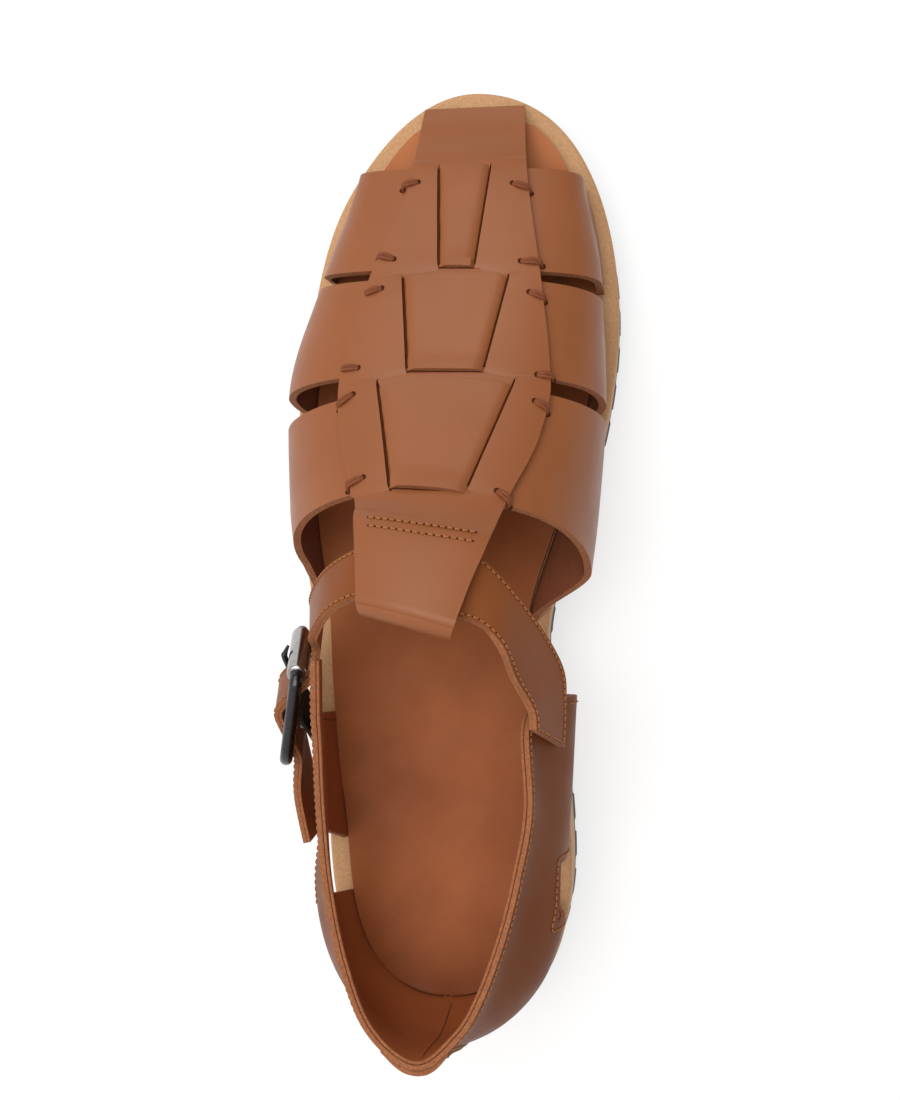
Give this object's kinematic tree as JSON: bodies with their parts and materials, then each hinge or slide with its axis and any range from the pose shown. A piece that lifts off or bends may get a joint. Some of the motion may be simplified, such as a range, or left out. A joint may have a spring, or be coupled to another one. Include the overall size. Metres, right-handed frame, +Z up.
{
  "type": "fisherman sandal",
  "caption": "Leather fisherman sandal: cross straps woven through a bar down the middle, heel quarter, ankle strap with a roller buckle, lugged rubber sole.",
  "frame": {"origin": "on the floor, on the lug under the middle of the heel", "axes": "+X to the medial side, +Y to the toe, +Z up"},
  "size_m": [0.1014, 0.2847, 0.0999],
  "materials": {
    "rubber": "matte dark rubber",
    "midsole": "pale honey, plain edge",
    "insole_leather": "smooth, worn, mottled",
    "upper_leather": "smooth tan brown with a soft sheen",
    "buckle_metal": "dark gunmetal",
    "elastic": "black woven elastic"
  },
  "bodies": {
    "root": {"outsole": "rubber", "midsole": "midsole", "insole": "insole_leather", "vamp": "upper_leather", "quarter": "upper_leather", "backstay": "upper_leather", "ankle_strap": "upper_leather", "buckle_frame": "buckle_metal", "buckle_roller": "buckle_metal", "buckle_prong": "buckle_metal", "elastic_tab": "elastic"}
  },
  "joints": []
}
